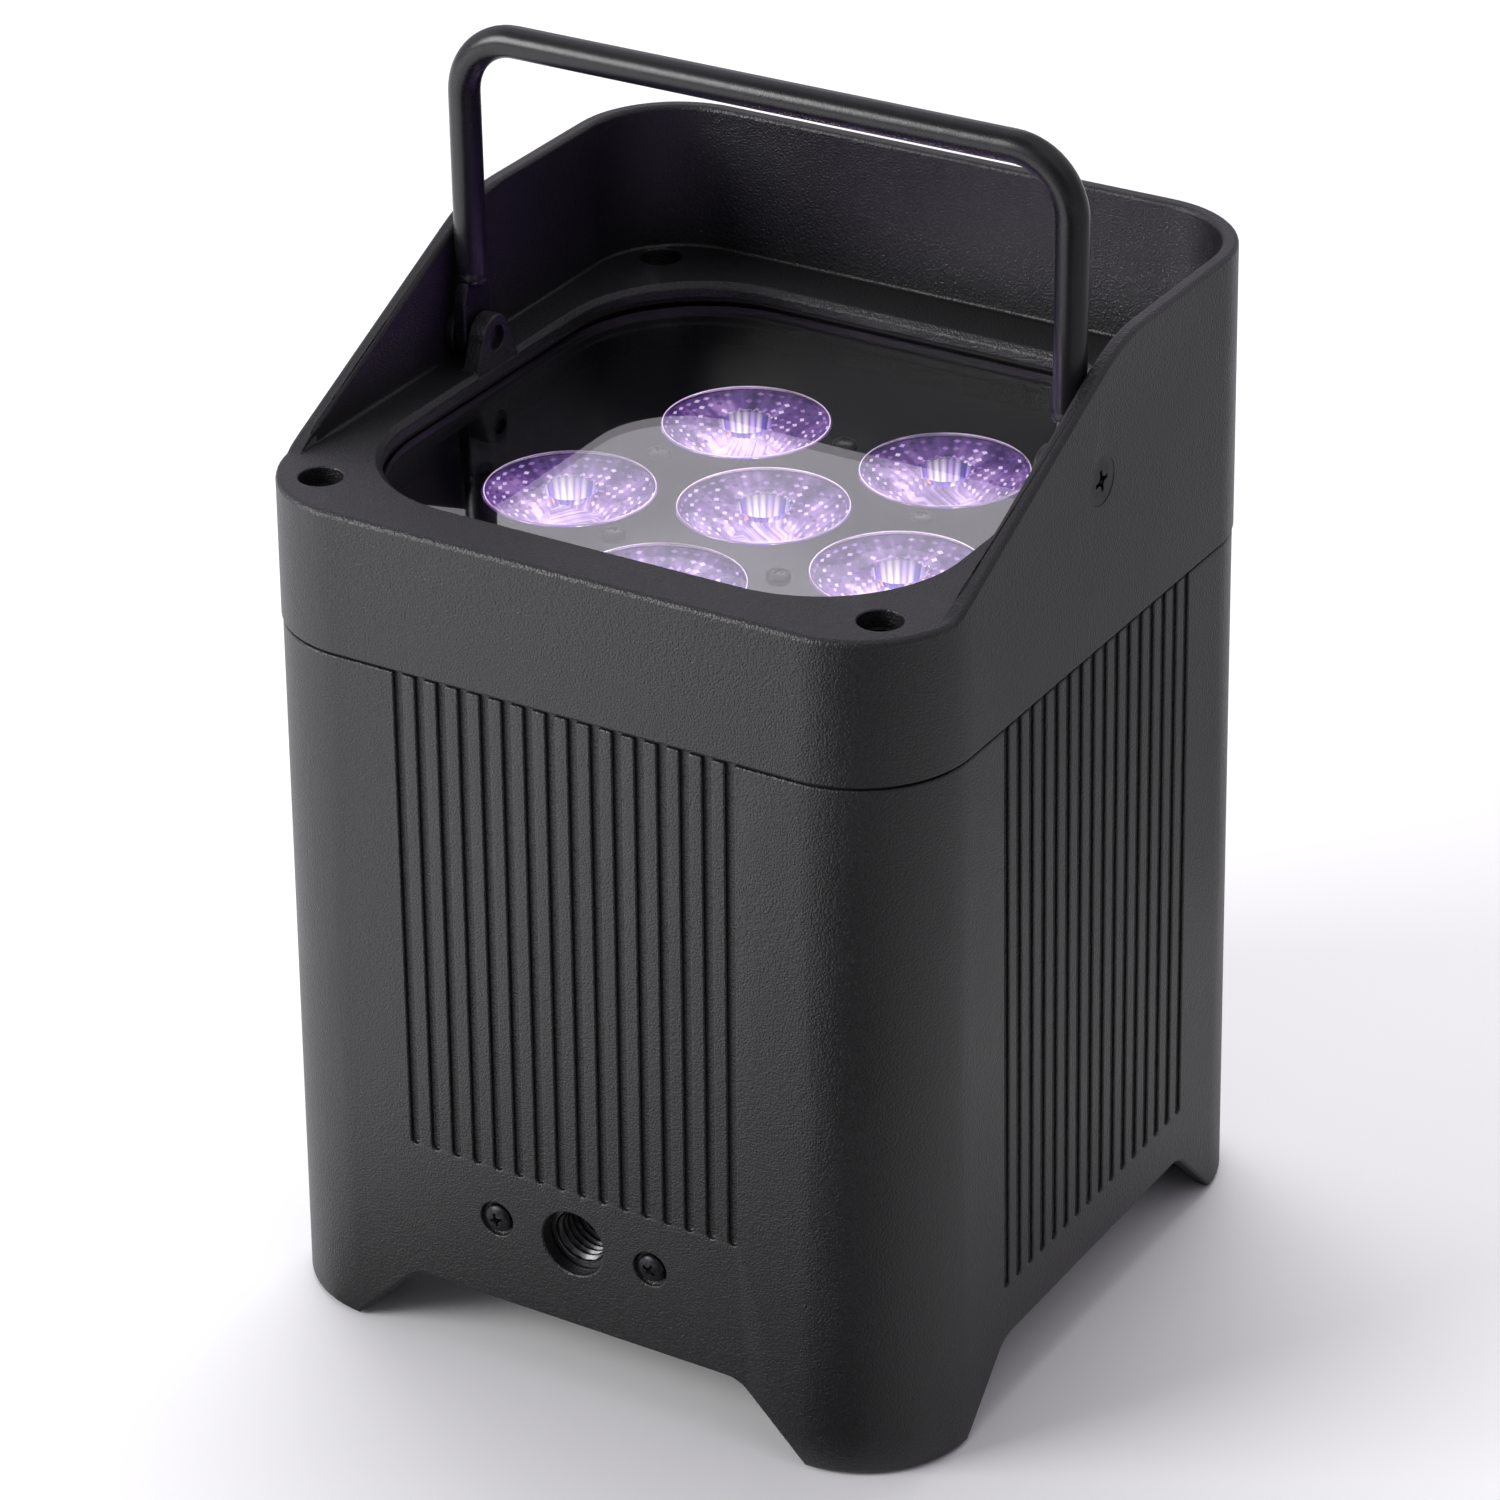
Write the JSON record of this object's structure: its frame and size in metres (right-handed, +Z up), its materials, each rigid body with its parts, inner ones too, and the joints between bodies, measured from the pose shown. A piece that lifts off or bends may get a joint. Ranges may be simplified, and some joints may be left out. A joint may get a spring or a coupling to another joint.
{
  "type": "par can light",
  "caption": "Square die-cast battery uplight with a sloped hood, clear lenses behind glass, ribbed sides, a folding carry handle and a threaded rigging hole.",
  "frame": {"origin": "on the floor plane at the centre of the footprint, between the feet", "axes": "+Z up, the front face with the threaded hole at -Y, the right side at +X"},
  "size_m": [0.154, 0.154, 0.2553],
  "materials": {
    "black_cast": "satin black powder coat on die-cast aluminium",
    "black_steel": "semi-gloss black painted steel",
    "rubber": "matte black rubber",
    "glass": "clear float glass",
    "lens": "clear moulded optical acrylic",
    "black_plastic": "fine matte black moulding",
    "gloss_black": "glossy black plastic",
    "steel": "zinc-plated steel",
    "black_screw": "black oxide steel",
    "aluminium": "extruded aluminium",
    "board": "green circuit board",
    "board_white": "aluminium-core board with a white mask",
    "brass": "plated brass",
    "emitter": "silicone-domed light source",
    "cell_wrap": "blue shrink wrap",
    "wire": "insulated wire"
  },
  "bodies": {
    "casing": {"housing_body": "black_cast", "top_hood": "black_cast", "seam_gasket": "rubber", "mouth_gasket": "rubber", "front_glass": "glass", "glass_retainer": "black_steel", "retainer_screws": "steel", "hood_screws": "black_screw", "lens_plate": "black_plastic", "lens_plate_screws": "black_screw", "plate_pillars": "aluminium", "lens_centre": "lens", "lens_ring_1": "lens", "lens_ring_2": "lens", "lens_ring_3": "lens", "lens_ring_4": "lens", "lens_ring_5": "lens", "lens_holders": "black_plastic", "led_board": "board_white", "led_emitters": "emitter", "heat_sink": "aluminium", "sink_screws": "steel", "pivot_washers": "black_plastic", "pivot_screws": "black_screw", "rigging_block": "steel", "rigging_screws": "black_screw", "battery_pack": "cell_wrap", "battery_strap": "steel", "driver_board": "board", "driver_parts": "black_plastic", "radio_board": "board", "board_standoffs": "brass", "wiring": "wire", "bottom_cover": "black_steel", "cover_screws": "steel", "foot_pads": "rubber", "control_panel": "black_steel", "panel_screws": "black_screw", "display_window": "gloss_black", "control_board": "board", "ir_window": "gloss_black", "rocker_frame": "black_plastic", "mains_inlet": "black_plastic", "inlet_blades": "steel", "dmx_in_shell": "black_steel", "dmx_in_pins": "brass", "dmx_out_shell": "black_steel", "dmx_out_insert": "black_plastic", "dmx_out_sector_1": "black_plastic", "dmx_out_sector_2": "black_plastic", "dmx_out_sector_3": "black_plastic", "port_screws": "steel"},
    "handle": {"handle_bar": "black_steel", "handle_tab_left": "black_steel", "handle_tab_right": "black_steel"},
    "rocker": {"power_rocker": "black_plastic"},
    "latch": {"dmx_latch": "steel"},
    "button_1_body": {"button_1": "black_plastic"},
    "button_2_body": {"button_2": "black_plastic"},
    "button_3_body": {"button_3": "black_plastic"},
    "button_4_body": {"button_4": "black_plastic"}
  },
  "joints": [
    {"name": "handle_fold", "type": "hinge", "parent": "casing", "child": "handle", "pos_m": [0, 0, 0.188], "axis": [1, 0, 0], "range_deg": [-90, 90]},
    {"name": "rocker_tilt", "type": "hinge", "parent": "casing", "child": "rocker", "pos_m": [0.033, 0.071, 0.104], "axis": [1, 0, 0], "range_deg": [-16, 0]},
    {"name": "button_1_press", "type": "slide", "parent": "casing", "child": "button_1_body", "axis": [0, -1, 0], "range_m": [0, 0.0008], "stiffness_N_per_m": 800},
    {"name": "button_2_press", "type": "slide", "parent": "casing", "child": "button_2_body", "axis": [0, -1, 0], "range_m": [0, 0.0008], "stiffness_N_per_m": 800},
    {"name": "button_3_press", "type": "slide", "parent": "casing", "child": "button_3_body", "axis": [0, -1, 0], "range_m": [0, 0.0008], "stiffness_N_per_m": 800},
    {"name": "button_4_press", "type": "slide", "parent": "casing", "child": "button_4_body", "axis": [0, -1, 0], "range_m": [0, 0.0008], "stiffness_N_per_m": 800},
    {"name": "latch_press", "type": "slide", "parent": "casing", "child": "latch", "axis": [0, -1, 0], "range_m": [0, 0.0015], "stiffness_N_per_m": 1500}
  ]
}
